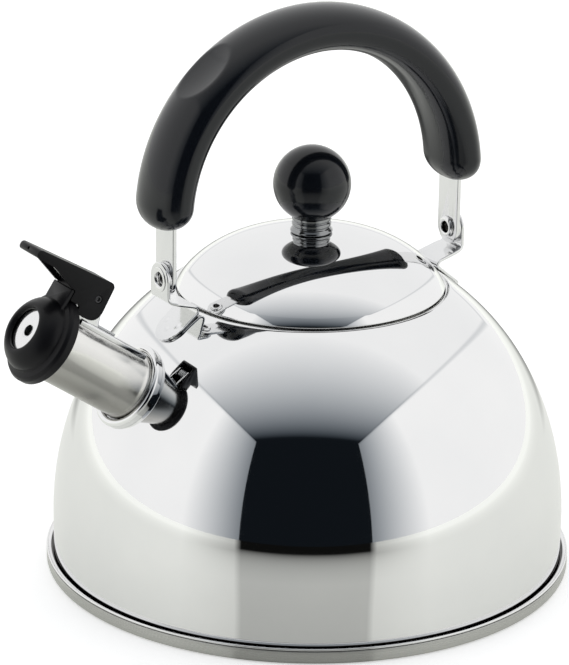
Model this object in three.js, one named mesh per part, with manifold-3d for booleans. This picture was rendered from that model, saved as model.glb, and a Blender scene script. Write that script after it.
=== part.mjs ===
// Stovetop whistling kettle with a folding arch handle, a lift-off lid and a sprung whistle cap on its spout.
// Millimetres, +Z up. The origin is the centre of the flat underside. The spout points along -X, and the
// handle stands in the XZ plane.
import * as THREE from "three";
import { mergeVertices } from "three/addons/utils/BufferGeometryUtils.js";
import Module from "manifold-3d";

const wasm = await Module();
wasm.setup();

// Driving dimensions
const GAP = 0.3; // air between two pieces that touch on the real kettle
const BODY_RADIUS = 92.4;
const BODY_SHEET = 1.0;
const BASE_RADIUS = 95;
const BASE_HEIGHT = 4.8; // side wall of the pressed-on base
const NECK_ROLL = 2.4; // radius of the roll round the mouth
const NECK_DEPTH = 6;
const MOUTH_EDGE_RADIUS = 50.2; // where the dome meets that roll
const LID_RADIUS = 47.8;
const LID_SEAT_Z = 104;
const LID_RISE = 20;
const LID_SHEET = 0.9;
const KNOB_RADIUS = 13.75;
const KNOB_Z = 141.7;
const PIVOT_Z = 116.4;
const TAB_X = 61.5; // middle of each handle bracket's upright tab
const BRACKET_SHEET = 1.1;
const BRACKET_WIDTH = 14;
const STRIP_X = 59.2;
const STRIP_THICKNESS = 1.5;
const STRIP_WIDTH = 12;
const STRIP_TOP_Z = 153;
const GRIP_ARCH_RADIUS = 60.4;
const GRIP_ARCH_Z = 138;
const GRIP_DEPTH = 15.8; // in the plane of the arch
const GRIP_WIDTH = 27;
const SPOUT_ROOT = new THREE.Vector3(-74.2, 0, 79.3);
const SPOUT_RISE = THREE.MathUtils.degToRad(34.8); // above the horizontal
const SPOUT_RADIUS = 12.1;
const SPOUT_SHEET = 0.9;
const SPOUT_LENGTH = 38.5;
const SPOUT_HOLE_RADIUS = 10.5;
const WHISTLE_RADIUS = 16.5;
const WHISTLE_REAR = 0.35; // distances along the spout's axis, from its tip
const WHISTLE_FRONT = 11.6;
const WHISTLE_BORE = 9.5;
const WHISTLE_LIFT = 0.5; // the cap's middle sits this far above the spout's axis
const WHISTLE_HOLE = 1.95;
const LEVER_WIDTH = 13;
const LEVER_WALL = 1.3;
const PIN = { along: -5.4, up: 20.7, radius: 1.25 }; // whistle hinge, in the tip's frame
const ROUND = 40; // sides of the large turned pieces

// Solids and geometry
const v2 = (x, y) => new THREE.Vector2(x, y);

function solidOf(geometry) {
  const bare = geometry.clone();
  bare.deleteAttribute("normal");
  bare.deleteAttribute("uv");
  const merged = mergeVertices(bare, 1e-4);
  return new wasm.Manifold(
    new wasm.Mesh({
      numProp: 3,
      vertProperties: new Float32Array(merged.attributes.position.array),
      triVerts: new Uint32Array(merged.index.array),
    }),
  );
}

function geometryOf(solid) {
  const mesh = solid.getMesh();
  const geometry = new THREE.BufferGeometry();
  geometry.setAttribute("position", new THREE.BufferAttribute(mesh.vertProperties, mesh.numProp));
  geometry.setIndex(new THREE.BufferAttribute(mesh.triVerts, 1));
  geometry.computeVertexNormals();
  return geometry;
}

// Turns a profile of (radius, height) points about +Z. A profile off the axis is closed on itself.
function turned(profile, sides = ROUND) {
  const points = THREE.ShapeUtils.isClockWise(profile) ? [...profile].reverse() : [...profile];
  if (points[0].x > 0 || points.at(-1).x > 0) points.push(points[0].clone());
  return new THREE.LatheGeometry(points, sides).rotateX(Math.PI / 2);
}

// Moves each point of an open path to its left, by the given distance.
function leftOf(path, distance) {
  return path.map((point, i) => {
    const before = path[Math.max(i - 1, 0)];
    const after = path[Math.min(i + 1, path.length - 1)];
    const run = after.clone().sub(before).normalize();
    return v2(point.x - run.y * distance, point.y + run.x * distance);
  });
}

// The outline of a sheet whose right face follows the path.
const sheetAlong = (path, thickness) => [...path, ...leftOf(path, thickness).reverse()];

function arcPoints(centre, radius, from, to, steps) {
  return Array.from({ length: steps + 1 }, (_, i) => {
    const angle = from + ((to - from) * i) / steps;
    return v2(centre.x + radius * Math.cos(angle), centre.y + radius * Math.sin(angle));
  });
}

// Where a plate's own x, y and thickness point.
const AXES = {
  xz: [new THREE.Vector3(1, 0, 0), new THREE.Vector3(0, 0, 1), new THREE.Vector3(0, -1, 0)],
  yz: [new THREE.Vector3(0, 1, 0), new THREE.Vector3(0, 0, 1), new THREE.Vector3(1, 0, 0)],
  xy: [new THREE.Vector3(1, 0, 0), new THREE.Vector3(0, 1, 0), new THREE.Vector3(0, 0, 1)],
  alongUp: [new THREE.Vector3(0, 0, 1), new THREE.Vector3(1, 0, 0), new THREE.Vector3(0, 1, 0)],
};

// A flat plate of the given shape, centred on its plane.
function plate(shape, thickness, axes) {
  const geometry = new THREE.ExtrudeGeometry(shape, { depth: thickness, bevelEnabled: false, curveSegments: 8 });
  geometry.translate(0, 0, -thickness / 2);
  return geometry.applyMatrix4(new THREE.Matrix4().makeBasis(...axes));
}

const polygon = (pairs) => new THREE.Shape(pairs.map(([x, y]) => v2(x, y)));

const rodAlongY = (radius, length, sides = 16) => new THREE.CylinderGeometry(radius, radius, length, sides);

const rodAlongX = (radius, length, sides = 16) => rodAlongY(radius, length, sides).rotateZ(Math.PI / 2);

function mesh(name, geometry, finish) {
  const piece = new THREE.Mesh(geometry, new THREE.MeshStandardMaterial(finish));
  piece.name = name;
  return piece;
}

// Finishes
const MIRROR_STEEL = { color: 0xd8d9da, roughness: 0.06, metalness: 1 };
const SATIN_STEEL = { color: 0xbdbcb8, roughness: 0.35, metalness: 1 };
const ALUMINIUM = { color: 0xb9bbbd, roughness: 0.45, metalness: 1 };
const CHROME = { color: 0xe2e3e4, roughness: 0.05, metalness: 1 };
const BRASS = { color: 0xb08d4a, roughness: 0.3, metalness: 1 };
const SPRING_STEEL = { color: 0x8f9194, roughness: 0.3, metalness: 1 };
const BLACK_PHENOLIC = { color: 0x111113, roughness: 0.16, metalness: 0 };
const BLACK_NYLON = { color: 0x17171a, roughness: 0.38, metalness: 0 };

// The dome's outside in profile, from the straight lower wall to the mouth.
const domeCurve = new THREE.CubicBezierCurve(
  v2(BODY_RADIUS, 18.5),
  v2(BODY_RADIUS, 48),
  v2(81, 82),
  v2(MOUTH_EDGE_RADIUS, 103.3),
);
const DOME_FOOT_Z = 5.8;

// Parameter of domeCurve at a radius; the radius only shrinks along the curve.
function domeParameter(radius) {
  let low = 0;
  let high = 1;
  for (let i = 0; i < 30; i++) {
    const middle = (low + high) / 2;
    if (domeCurve.getPoint(middle).x > radius) low = middle;
    else high = middle;
  }
  return low;
}

// The outside of the body from its foot, over the roll and down into the mouth.
function bodyPath() {
  const side = domeCurve.getPoints(12);
  const edge = side.at(-1);
  const run = domeCurve.getTangent(1);
  const centre = v2(edge.x - run.y * NECK_ROLL, edge.y + run.x * NECK_ROLL);
  const start = Math.atan2(edge.y - centre.y, edge.x - centre.x);
  const roll = arcPoints(centre, NECK_ROLL, start, Math.PI, 4);
  const neckRadius = centre.x - NECK_ROLL;
  return [v2(BODY_RADIUS, DOME_FOOT_Z), ...side, ...roll.slice(1), v2(neckRadius, centre.y - NECK_DEPTH)];
}

// All the space inside the dome's outside surface, grown by a margin.
function domeSpace(margin) {
  const side = leftOf([v2(BODY_RADIUS, 0), ...domeCurve.getPoints(14)], -margin);
  return turned([v2(0, 0), ...side, v2(0, side.at(-1).y)], 72);
}

// The spout's frame, on the dome: +Z along the spout, +X square to it and up. The tip's frame is at its far end.
const spoutFrame = new THREE.Group();
spoutFrame.position.copy(SPOUT_ROOT);
spoutFrame.rotation.y = SPOUT_RISE - Math.PI / 2;
spoutFrame.updateMatrix();
const intoSpoutFrame = spoutFrame.matrix.clone().invert();
const tipFrame = new THREE.Group();
tipFrame.position.set(WHISTLE_LIFT, 0, SPOUT_LENGTH);
spoutFrame.add(tipFrame);

function bodyShell() {
  const shell = solidOf(turned(sheetAlong(bodyPath(), BODY_SHEET)));
  const punch = rodAlongY(SPOUT_HOLE_RADIUS, 30, 32).rotateX(Math.PI / 2).applyMatrix4(spoutFrame.matrix);
  return geometryOf(shell.subtract(solidOf(punch)));
}

// Base: a pan that closes the body, an aluminium heat spreader, and the brushed cover pressed round it.
const COVER_SHEET = 0.8;
const CORE_TOP = BASE_HEIGHT - 0.5;
const PAN_BOTTOM = CORE_TOP + GAP;

function baseCover() {
  const inner = BASE_RADIUS - COVER_SHEET;
  const corner = arcPoints(v2(BASE_RADIUS - 1.6, 1.6), 1.6, -Math.PI / 2, 0, 4);
  return turned([
    v2(0, 0),
    ...corner,
    v2(BASE_RADIUS, BASE_HEIGHT),
    v2(inner, BASE_HEIGHT),
    v2(inner, 1.6),
    v2(inner - 0.8, COVER_SHEET),
    v2(0, COVER_SHEET),
  ]);
}

function baseCore() {
  const radius = BASE_RADIUS - COVER_SHEET - 0.8 - GAP;
  const bottom = COVER_SHEET + GAP;
  return turned([v2(0, bottom), v2(radius, bottom), v2(radius, CORE_TOP), v2(0, CORE_TOP)]);
}

function bottomPan() {
  const top = PAN_BOTTOM + 0.9;
  const lipBottom = BASE_HEIGHT + GAP;
  const lip = arcPoints(v2(BASE_RADIUS - 0.5, lipBottom + 0.5), 0.5, -Math.PI / 2, Math.PI / 2, 4);
  return turned([
    v2(0, PAN_BOTTOM),
    v2(BASE_RADIUS - 1.1, PAN_BOTTOM),
    v2(BASE_RADIUS - 1.1, lipBottom),
    ...lip,
    v2(BASE_RADIUS - 1.4, lipBottom + 1),
    v2(BASE_RADIUS - 1.7, top),
    v2(0, top),
  ]);
}

// Spout pieces, drawn in the spout's frame
function spoutTube() {
  const rootRadius = SPOUT_RADIUS + 0.4;
  const flare = new THREE.CubicBezierCurve(v2(rootRadius, 1), v2(rootRadius, 2), v2(SPOUT_RADIUS, 2.5), v2(SPOUT_RADIUS, 4));
  const outside = [v2(rootRadius, -4), ...flare.getPoints(3), v2(SPOUT_RADIUS, SPOUT_LENGTH)];
  const tube = solidOf(turned(sheetAlong(outside, SPOUT_SHEET), 32));
  return geometryOf(tube.subtract(solidOf(domeSpace(GAP).applyMatrix4(intoSpoutFrame))));
}

function spoutCollar() {
  const beadRadius = 1.35;
  const middle = SPOUT_RADIUS + 0.4 + GAP + beadRadius;
  const bead = arcPoints(v2(middle, 0.5), beadRadius, 0, Math.PI, 6);
  const ring = solidOf(turned([v2(middle - beadRadius, -5), v2(middle + beadRadius, -5), ...bead], 32));
  return geometryOf(ring.subtract(solidOf(domeSpace(GAP).applyMatrix4(intoSpoutFrame))));
}

// Whistle and hinge pieces, drawn in the tip's frame

// A folded saddle on the spout: a floor with a rail down each side, and two ears that hold the whistle's hinge pin.
function spoutBracket() {
  const sheet = 0.8;
  const railWidth = 11;
  const earWidth = 9;
  const earRadius = 3.4;
  const bottom = SPOUT_RADIUS - WHISTLE_LIFT + GAP;
  const top = bottom + 0.65;
  const rear = 3.5 - SPOUT_LENGTH;
  const front = PIN.along + 0.9;
  const middle = (rear + front) / 2;
  const ear = new THREE.Shape();
  ear.moveTo(PIN.along - 6.5, bottom);
  ear.lineTo(PIN.along + earRadius, bottom);
  ear.absarc(PIN.along, PIN.up, earRadius, 0, Math.PI, false);
  ear.lineTo(PIN.along - 6.5, top + 0.8);
  const floor = new THREE.BoxGeometry(top - bottom, railWidth - sheet, front - rear);
  let saddle = solidOf(floor.translate((top + bottom) / 2, 0, middle));
  for (const side of [-1, 1]) {
    const rail = new THREE.BoxGeometry(1.6, sheet, front - rear);
    rail.translate(top - 0.8, (side * (railWidth - sheet)) / 2, middle);
    const cheek = plate(ear, sheet, AXES.alongUp).translate(0, (side * (earWidth - sheet)) / 2, 0);
    saddle = saddle.add(solidOf(rail)).add(solidOf(cheek));
  }
  const hole = rodAlongY(PIN.radius + GAP, 2 * railWidth).translate(PIN.up, 0, PIN.along);
  return geometryOf(saddle.subtract(solidOf(hole)));
}

function hingePin() {
  const half = LEVER_WIDTH / 2 + GAP;
  const dimple = 0.6;
  const profile = [
    v2(0, -half + dimple),
    v2(dimple, -half),
    v2(PIN.radius, -half),
    v2(PIN.radius, half),
    v2(dimple, half),
    v2(0, half - dimple),
  ];
  return turned(profile, 16).rotateX(Math.PI / 2).translate(PIN.up, 0, PIN.along);
}

// The closing spring wound round the pin, between the bracket's ears.
class CoilCurve extends THREE.Curve {
  getPoint(t, target = new THREE.Vector3()) {
    const turns = 4.5;
    const radius = 2.15;
    const angle = 2 * Math.PI * turns * t;
    const across = (t - 0.5) * 5.6;
    return target.set(PIN.up + radius * Math.sin(angle), across, PIN.along - radius * Math.cos(angle));
  }
}

function whistleSpring() {
  const wire = new THREE.Shape();
  wire.absarc(0, 0, 0.35, 0, 2 * Math.PI, false);
  const options = { steps: 45, curveSegments: 3, bevelEnabled: false, extrudePath: new CoilCurve() };
  return new THREE.ExtrudeGeometry(wire, options);
}

// A moulded cap that closes the spout. It holds two pierced discs, kept apart by a ring, which make the whistle.
function whistleCap() {
  const front = WHISTLE_FRONT;
  const bulge = new THREE.SplineCurve([v2(13.6, 5.7), v2(13.1, 7.7), v2(11.6, 9.9), v2(9.7, 11.4)]);
  const body = turned(
    [
      v2(WHISTLE_BORE, WHISTLE_REAR),
      v2(WHISTLE_RADIUS - 0.6, WHISTLE_REAR),
      v2(WHISTLE_RADIUS, WHISTLE_REAR + 0.6),
      v2(WHISTLE_RADIUS, 3.3),
      v2(WHISTLE_RADIUS - 0.8, 4.5),
      v2(13.8, 5),
      ...bulge.getPoints(4),
      v2(9, front),
      v2(8.1, front),
      v2(7.5, front - 0.6),
      v2(7.5, 9.8),
      v2(WHISTLE_BORE, 9.8),
    ],
    32,
  );
  const shield = new THREE.BoxGeometry(8, LEVER_WIDTH - 0.2, 1.2).translate(15.4, 0, 5.5);
  const block = new THREE.BoxGeometry(13, LEVER_WIDTH - 2 * LEVER_WALL - 0.7, 3.4).translate(18.5, 0, 3.3);
  return geometryOf(solidOf(body).add(solidOf(shield)).add(solidOf(block)));
}

const piercedDisc = (bottom) =>
  turned(
    [
      v2(WHISTLE_HOLE, bottom),
      v2(WHISTLE_BORE - GAP, bottom),
      v2(WHISTLE_BORE - GAP, bottom + 0.8),
      v2(WHISTLE_HOLE, bottom + 0.8),
    ],
    24,
  );

const whistleSpacer = () =>
  turned([v2(8.2, 5.4), v2(WHISTLE_BORE - GAP, 5.4), v2(WHISTLE_BORE - GAP, 8.4), v2(8.2, 8.4)], 24);

// The thumb lever is a hood: a top plate with a cheek down each side, open behind and below.
function whistleLever() {
  const cheek = new THREE.Shape();
  cheek.moveTo(24.9, 22.9);
  cheek.lineTo(24.9, 25.9);
  cheek.lineTo(-7.5, 28);
  cheek.quadraticCurveTo(-8.6, 28, -8.7, 26.9);
  cheek.lineTo(-9.4, 17.6);
  cheek.quadraticCurveTo(-9.3, 13.2, -5.1, 12.9);
  cheek.lineTo(-0.1, 12.9);
  cheek.lineTo(-0.1, 16);
  cheek.lineTo(4.5, 16);
  cheek.lineTo(4.5, 19.6);
  cheek.lineTo(5.9, 19.6);
  cheek.lineTo(16.4, 22.9);
  const roof = polygon([
    [24.9, 22.9],
    [24.9, 25.9],
    [-7.5, 28],
    [-8.6, 27.7],
    [-8.7, 26.2],
    [16.4, 24.5],
    [16.4, 22.9],
  ]);
  let lever = solidOf(plate(roof, LEVER_WIDTH, AXES.alongUp));
  for (const side of [-1, 1]) {
    const across = (side * (LEVER_WIDTH - LEVER_WALL)) / 2;
    lever = lever.add(solidOf(plate(cheek, LEVER_WALL, AXES.alongUp).translate(0, across, 0)));
  }
  const hole = rodAlongY(PIN.radius + GAP, 2 * LEVER_WIDTH).translate(PIN.up, 0, PIN.along);
  return geometryOf(lever.subtract(solidOf(hole)));
}

// Handle brackets, drawn at +X. A sheet strip: a foot down the dome, a tight fold back, a shelf and an upright tab.
function bracketPath() {
  const half = BRACKET_SHEET / 2;
  const foot = [50.6, 53.5, 57, 60.5].map((radius) => domeCurve.getPoint(domeParameter(radius)));
  const footMiddle = leftOf(foot, GAP + half);
  const down = footMiddle[1].clone().sub(footMiddle[0]).normalize();
  const foldRadius = 1.6;
  const fold = v2(footMiddle[0].x - down.y * foldRadius, footMiddle[0].y + down.x * foldRadius);
  const shelfSlope = THREE.MathUtils.degToRad(16);
  const foldStart = Math.atan2(footMiddle[0].y - fold.y, footMiddle[0].x - fold.x);
  const foldArc = arcPoints(fold, foldRadius, foldStart, -1.5 * Math.PI + shelfSlope, 6);
  const shelfStart = foldArc.at(-1);
  const bend = 1.8;
  const shelfEndX = TAB_X - bend;
  const shelfEnd = v2(shelfEndX, shelfStart.y + (shelfEndX - shelfStart.x) * Math.tan(shelfSlope));
  const corner = [v2(TAB_X - 0.5, shelfEnd.y + 0.8), v2(TAB_X, shelfEnd.y + 2.2)];
  return [...footMiddle.reverse(), ...foldArc.slice(1), shelfEnd, ...corner, v2(TAB_X, PIVOT_Z + STRIP_WIDTH / 2)];
}

function handleBracket() {
  const path = bracketPath();
  const half = BRACKET_SHEET / 2;
  const outline = new THREE.Shape([...leftOf(path, half), ...leftOf(path, -half).reverse()]);
  const strip = solidOf(plate(outline, BRACKET_WIDTH, AXES.xz));
  const radius = BRACKET_WIDTH / 2;
  const tabRadius = STRIP_WIDTH / 2;
  const front = new THREE.Shape();
  front.moveTo(-radius, 87);
  front.lineTo(radius, 87);
  front.lineTo(radius, PIVOT_Z - 10);
  front.lineTo(tabRadius, PIVOT_Z - 6);
  front.absarc(0, PIVOT_Z, tabRadius, 0, Math.PI, false);
  front.lineTo(-tabRadius, PIVOT_Z - 6);
  front.lineTo(-radius, PIVOT_Z - 10);
  const roundTab = solidOf(plate(front, 60, AXES.yz).translate(60, 0, 0));
  const plan = new THREE.Shape();
  plan.moveTo(40, -radius);
  plan.absarc(61.8 - radius, 0, radius, -Math.PI / 2, Math.PI / 2, false);
  plan.lineTo(40, radius);
  const roundFoot = solidOf(plate(plan, 20, AXES.xy).translate(0, 0, 91));
  const above = solidOf(new THREE.BoxGeometry(60, 40, 30).translate(60, 0, 116));
  const hole = solidOf(rodAlongX(RIVET_RADIUS + GAP, 20, 24).translate(TAB_X, 0, PIVOT_Z));
  return geometryOf(strip.intersect(roundTab).intersect(roundFoot.add(above)).subtract(hole));
}

// A tubular rivet through tab, washer and strip, hollow at its outer end. Drawn along +Z from the strip's inner face.
const RIVET_RADIUS = 3.1;
const STRIP_INNER_X = STRIP_X - STRIP_THICKNESS / 2;
const TAB_OUTER_X = TAB_X + BRACKET_SHEET / 2;

function pivotRivet() {
  const head = -GAP;
  const end = TAB_OUTER_X - STRIP_INNER_X + GAP;
  return turned(
    [
      v2(0, head - 0.5),
      v2(1.6, head - 0.5),
      v2(2.1, head - 1.1),
      v2(3.2, head - 1.1),
      v2(4, head - 0.5),
      v2(4, head),
      v2(RIVET_RADIUS, head),
      v2(RIVET_RADIUS, end),
      v2(4.6, end),
      v2(4.5, end + 0.6),
      v2(3.5, end + 0.9),
      v2(2.4, end),
      v2(2.4, end - 2.4),
      v2(0, end - 2.8),
    ],
    20,
  ).rotateY(Math.PI / 2).translate(STRIP_INNER_X, 0, PIVOT_Z);
}

function pivotWasher() {
  const bottom = STRIP_X + STRIP_THICKNESS / 2 + GAP;
  const top = TAB_X - BRACKET_SHEET / 2 - GAP;
  const inner = RIVET_RADIUS + GAP;
  const ring = turned([v2(inner, bottom), v2(5.6, bottom), v2(5.6, top), v2(inner, top)], 20);
  return ring.rotateY(Math.PI / 2).translate(0, 0, PIVOT_Z);
}

// Handle
function handleStrip() {
  const radius = STRIP_WIDTH / 2;
  const outline = new THREE.Shape();
  outline.absarc(0, PIVOT_Z, radius, Math.PI, 2 * Math.PI, false);
  outline.lineTo(radius, STRIP_TOP_Z);
  outline.lineTo(-radius, STRIP_TOP_Z);
  const hole = new THREE.Path();
  hole.absarc(0, PIVOT_Z, RIVET_RADIUS + GAP, 0, 2 * Math.PI, true);
  outline.holes.push(hole);
  return plate(outline, STRIP_THICKNESS, AXES.yz).translate(STRIP_X, 0, 0);
}

class ArchCurve extends THREE.Curve {
  getPoint(t, target = new THREE.Vector3()) {
    const angle = Math.PI * (1 - t);
    return target.set(GRIP_ARCH_RADIUS * Math.cos(angle), 0, GRIP_ARCH_Z + GRIP_ARCH_RADIUS * Math.sin(angle));
  }
}

function handleGrip() {
  const section = new THREE.Shape();
  section.absellipse(0, 0, GRIP_WIDTH / 2, GRIP_DEPTH / 2, 0, 2 * Math.PI, false);
  const options = { steps: 28, curveSegments: 8, bevelEnabled: false, extrudePath: new ArchCurve() };
  let grip = solidOf(new THREE.ExtrudeGeometry(section, options));
  const endDrop = 3.4;
  for (const side of [-1, 1]) {
    const end = new THREE.SphereGeometry(1, 16, 8).scale(GRIP_DEPTH / 2, GRIP_WIDTH / 2, endDrop);
    grip = grip.add(solidOf(end.translate(side * GRIP_ARCH_RADIUS, 0, GRIP_ARCH_Z)));
    const slotHeight = STRIP_TOP_Z + 2 * GAP - PIVOT_Z;
    const slot = new THREE.BoxGeometry(STRIP_THICKNESS + 2 * GAP, STRIP_WIDTH + 2 * GAP, slotHeight);
    grip = grip.subtract(solidOf(slot.translate(side * STRIP_X, 0, PIVOT_Z + slotHeight / 2)));
  }
  const dishRadius = 60;
  const dishDepth = 1.7;
  const dishAngle = THREE.MathUtils.degToRad(132);
  const reach = GRIP_ARCH_RADIUS + GRIP_DEPTH / 2 + dishRadius - dishDepth;
  const dish = new THREE.SphereGeometry(dishRadius, 64, 48);
  dish.translate(reach * Math.cos(dishAngle), 0, GRIP_ARCH_Z + reach * Math.sin(dishAngle));
  return geometryOf(grip.subtract(solidOf(dish)));
}

// Lid
function lidHeight(radius) {
  return LID_SEAT_Z + LID_RISE * Math.pow(1 - Math.pow(radius / LID_RADIUS, 2.6), 1 / 1.3);
}

const LID_HOLE = 2.6;
const LID_TOP = lidHeight(0);

function lidShell() {
  const steps = 9;
  const outside = Array.from({ length: steps + 1 }, (_, i) => {
    const radius = LID_HOLE + (LID_RADIUS - LID_HOLE) * Math.sin((Math.PI / 2) * (i / steps));
    return v2(radius, lidHeight(radius));
  });
  const inside = leftOf(outside, -LID_SHEET);
  inside[steps] = v2(LID_RADIUS - LID_SHEET, LID_SEAT_Z);
  return turned([...outside, ...inside.reverse()]);
}

function lidSkirt() {
  const outer = 45.9;
  const bottom = LID_SEAT_Z - 9;
  const top = lidHeight(outer) - LID_SHEET - 1;
  return turned([
    v2(outer - 1.6, bottom),
    v2(outer - 0.8, bottom),
    v2(outer, bottom + 1.2),
    v2(outer, top),
    v2(outer - 0.8, top),
    v2(outer - 0.8, bottom + 1.2),
  ]);
}

function knobStem() {
  const bottom = LID_TOP + GAP;
  const top = KNOB_Z - Math.sqrt(KNOB_RADIUS ** 2 - 7.1 ** 2) - GAP;
  return turned(
    [
      v2(LID_HOLE, bottom),
      v2(7.4, bottom),
      v2(7.6, bottom + 0.7),
      v2(7, bottom + 1.5),
      v2(7, top),
      v2(LID_HOLE, top),
    ],
    24,
  );
}

// The ball has a flat where it sits on the stem, and a blind hole for its threaded insert.
function knobBall() {
  const flatRadius = 7.1;
  const start = -Math.acos(flatRadius / KNOB_RADIUS);
  const ball = arcPoints(v2(0, KNOB_Z), KNOB_RADIUS, start, Math.PI / 2, 10);
  ball[10].x = 0;
  const flatZ = ball[0].y;
  return turned([v2(0, KNOB_Z + 2), v2(3.8, KNOB_Z + 2), v2(3.8, flatZ), ...ball], 28);
}

const SCREW_TOP = KNOB_Z - 0.5;

function knobInsert() {
  const bottom = KNOB_Z - Math.sqrt(KNOB_RADIUS ** 2 - 7.1 ** 2) + GAP;
  const top = KNOB_Z + 1.5;
  return turned([v2(2.4, bottom), v2(3.5, bottom), v2(3.5, top), v2(2.4, top)], 20);
}

function knobWasher() {
  const top = LID_TOP - LID_SHEET - GAP;
  return turned([v2(LID_HOLE, top - 0.8), v2(7.5, top - 0.8), v2(7.5, top), v2(LID_HOLE, top)], 20);
}

function knobScrew() {
  const seat = LID_TOP - LID_SHEET - 0.8 - 2 * GAP;
  const profile = [
    v2(0, seat - 1.4),
    v2(1.2, seat - 2.4),
    v2(3.2, seat - 2.2),
    v2(4.3, seat - 0.9),
    v2(4.3, seat),
    v2(2.1, seat),
    v2(2.1, SCREW_TOP - 0.8),
    v2(1.4, SCREW_TOP),
    v2(0, SCREW_TOP),
  ];
  return turned(profile, 20);
}

// Assembly
const kettle = new THREE.Group();

const base = new THREE.Group();
base.add(
  mesh("base_cover", baseCover(), SATIN_STEEL),
  mesh("base_core", baseCore(), ALUMINIUM),
  mesh("bottom_pan", bottomPan(), MIRROR_STEEL),
  mesh("dome_shell", bodyShell(), MIRROR_STEEL),
);

spoutFrame.add(
  mesh("spout_collar", spoutCollar(), MIRROR_STEEL),
  mesh("spout_tube", spoutTube(), SATIN_STEEL),
);
tipFrame.add(
  mesh("spout_bracket", spoutBracket(), CHROME),
  mesh("whistle_pin", hingePin(), CHROME),
  mesh("whistle_spring", whistleSpring(), SPRING_STEEL),
  mesh("whistle_cap", whistleCap(), BLACK_NYLON),
  mesh("whistle_front_disc", piercedDisc(8.7), CHROME),
  mesh("whistle_spacer", whistleSpacer(), ALUMINIUM),
  mesh("whistle_rear_disc", piercedDisc(4.3), CHROME),
  mesh("whistle_lever", whistleLever(), BLACK_NYLON),
);

const lid = new THREE.Group();
lid.add(
  mesh("lid_shell", lidShell(), MIRROR_STEEL),
  mesh("lid_skirt", lidSkirt(), SATIN_STEEL),
  mesh("knob_stem", knobStem(), CHROME),
  mesh("knob_ball", knobBall(), BLACK_PHENOLIC),
  mesh("knob_insert", knobInsert(), BRASS),
  mesh("knob_washer", knobWasher(), CHROME),
  mesh("knob_screw", knobScrew(), CHROME),
);

const handle = new THREE.Group();
handle.add(mesh("handle_grip", handleGrip(), BLACK_PHENOLIC));

// The front end is over the spout, at -X, and the rear end at +X.
for (const [end, turn] of [["front", Math.PI], ["rear", 0]]) {
  const mounting = new THREE.Group();
  mounting.rotation.z = turn;
  mounting.add(
    mesh(`${end}_handle_bracket`, handleBracket(), CHROME),
    mesh(`${end}_pivot_rivet`, pivotRivet(), CHROME),
    mesh(`${end}_pivot_washer`, pivotWasher(), CHROME),
    mesh(`${end}_handle_strip`, handleStrip(), CHROME),
  );
  handle.add(mounting);
}

kettle.add(base, spoutFrame, lid, handle);

export default kettle;
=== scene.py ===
"""A stovetop whistling kettle with a folding arch handle, a lift-off lid and a sprung whistle cap.

Lengths are in millimetres, in the frame of the CAD model: +Z up, the origin at the centre of the flat
underside, the spout towards -X and the handle in the XZ plane. raw_object turns them into metres.
"""
import math

import bmesh
import bpy
from mathutils import Matrix, Vector


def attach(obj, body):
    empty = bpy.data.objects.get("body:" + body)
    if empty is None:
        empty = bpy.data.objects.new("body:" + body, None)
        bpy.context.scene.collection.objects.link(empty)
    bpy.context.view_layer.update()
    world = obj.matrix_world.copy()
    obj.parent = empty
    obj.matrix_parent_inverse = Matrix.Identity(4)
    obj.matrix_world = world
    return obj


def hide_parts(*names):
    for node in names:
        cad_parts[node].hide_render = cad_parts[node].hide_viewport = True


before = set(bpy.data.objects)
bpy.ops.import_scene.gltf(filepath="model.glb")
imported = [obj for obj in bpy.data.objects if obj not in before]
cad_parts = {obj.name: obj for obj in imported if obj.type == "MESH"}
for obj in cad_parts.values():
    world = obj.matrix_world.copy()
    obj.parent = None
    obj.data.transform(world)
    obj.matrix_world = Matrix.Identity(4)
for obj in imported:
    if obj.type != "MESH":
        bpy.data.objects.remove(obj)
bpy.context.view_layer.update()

MM = 0.001

# Driving dimensions, as in the CAD model
BODY_RADIUS = 92.4
BODY_SHEET = 1.0
BASE_RADIUS = 95
BASE_HEIGHT = 4.8
DOME_FOOT_Z = 5.8
# The pan's colour is painted dark inside SEAM_RADIUS, as painted shade in that groove
SEAM_RADIUS = 93.35  # the groove between the dome and the base's lip lies inside it
DOME_CURVE = [(BODY_RADIUS, 18.5), (BODY_RADIUS, 48), (81, 82), (50.2, 103.3)]  # (radius, height)
NECK_ROLL = 2.4
NECK_DEPTH = 6
LID_RADIUS = 47.8
LID_SEAT_Z = 104
LID_RISE = 20
LID_SHEET = 0.9
LID_HOLE = 2.6
KNOB_RADIUS = 13.75
KNOB_FLAT = 7.1  # radius of the flat under the ball
KNOB_Z = 141.7
PIVOT_Z = 116.4
TAB_X = 61.5  # the middle of each bracket's tab
BRACKET_SHEET = 1.1
BRACKET_WIDTH = 14
RIVET_RADIUS = 3.1
RIVET_HOLE = RIVET_RADIUS + 0.1
RIVET_HOLLOW = 2.15
STRIP_X = 59.2  # the middle of each strip
STRIP_THICKNESS = 1.5
STRIP_WIDTH = 12
STRIP_TOP_Z = 153
GRIP_ARCH_RADIUS = 60.4
GRIP_ARCH_Z = 138
GRIP_DEPTH = 15.8
GRIP_WIDTH = 27
GRIP_END_DROP = 3.4  # how far each end runs straight down below the arch
SPOUT_ROOT = (-74.2, 0, 79.3)
SPOUT_RISE = math.radians(34.8)
SPOUT_RADIUS = 12.1
SPOUT_SHEET = 0.9
SPOUT_LENGTH = 38.5
SPOUT_HOLE_RADIUS = 10.5
WHISTLE_RADIUS = 16.5
WHISTLE_REAR = 0.35
WHISTLE_FRONT = 11.6
WHISTLE_BORE = 9.5
WHISTLE_LIFT = 0.5  # the whistle's axis lies this far above the tube's
WHISTLE_HOLE = 1.95
LEVER_WIDTH = 13
LEVER_WALL = 1.3
PIN_ALONG = -5.4
PIN_UP = 20.7
PIN_RADIUS = 1.25
GAP = 0.3  # between pieces that meet on the real kettle

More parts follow.
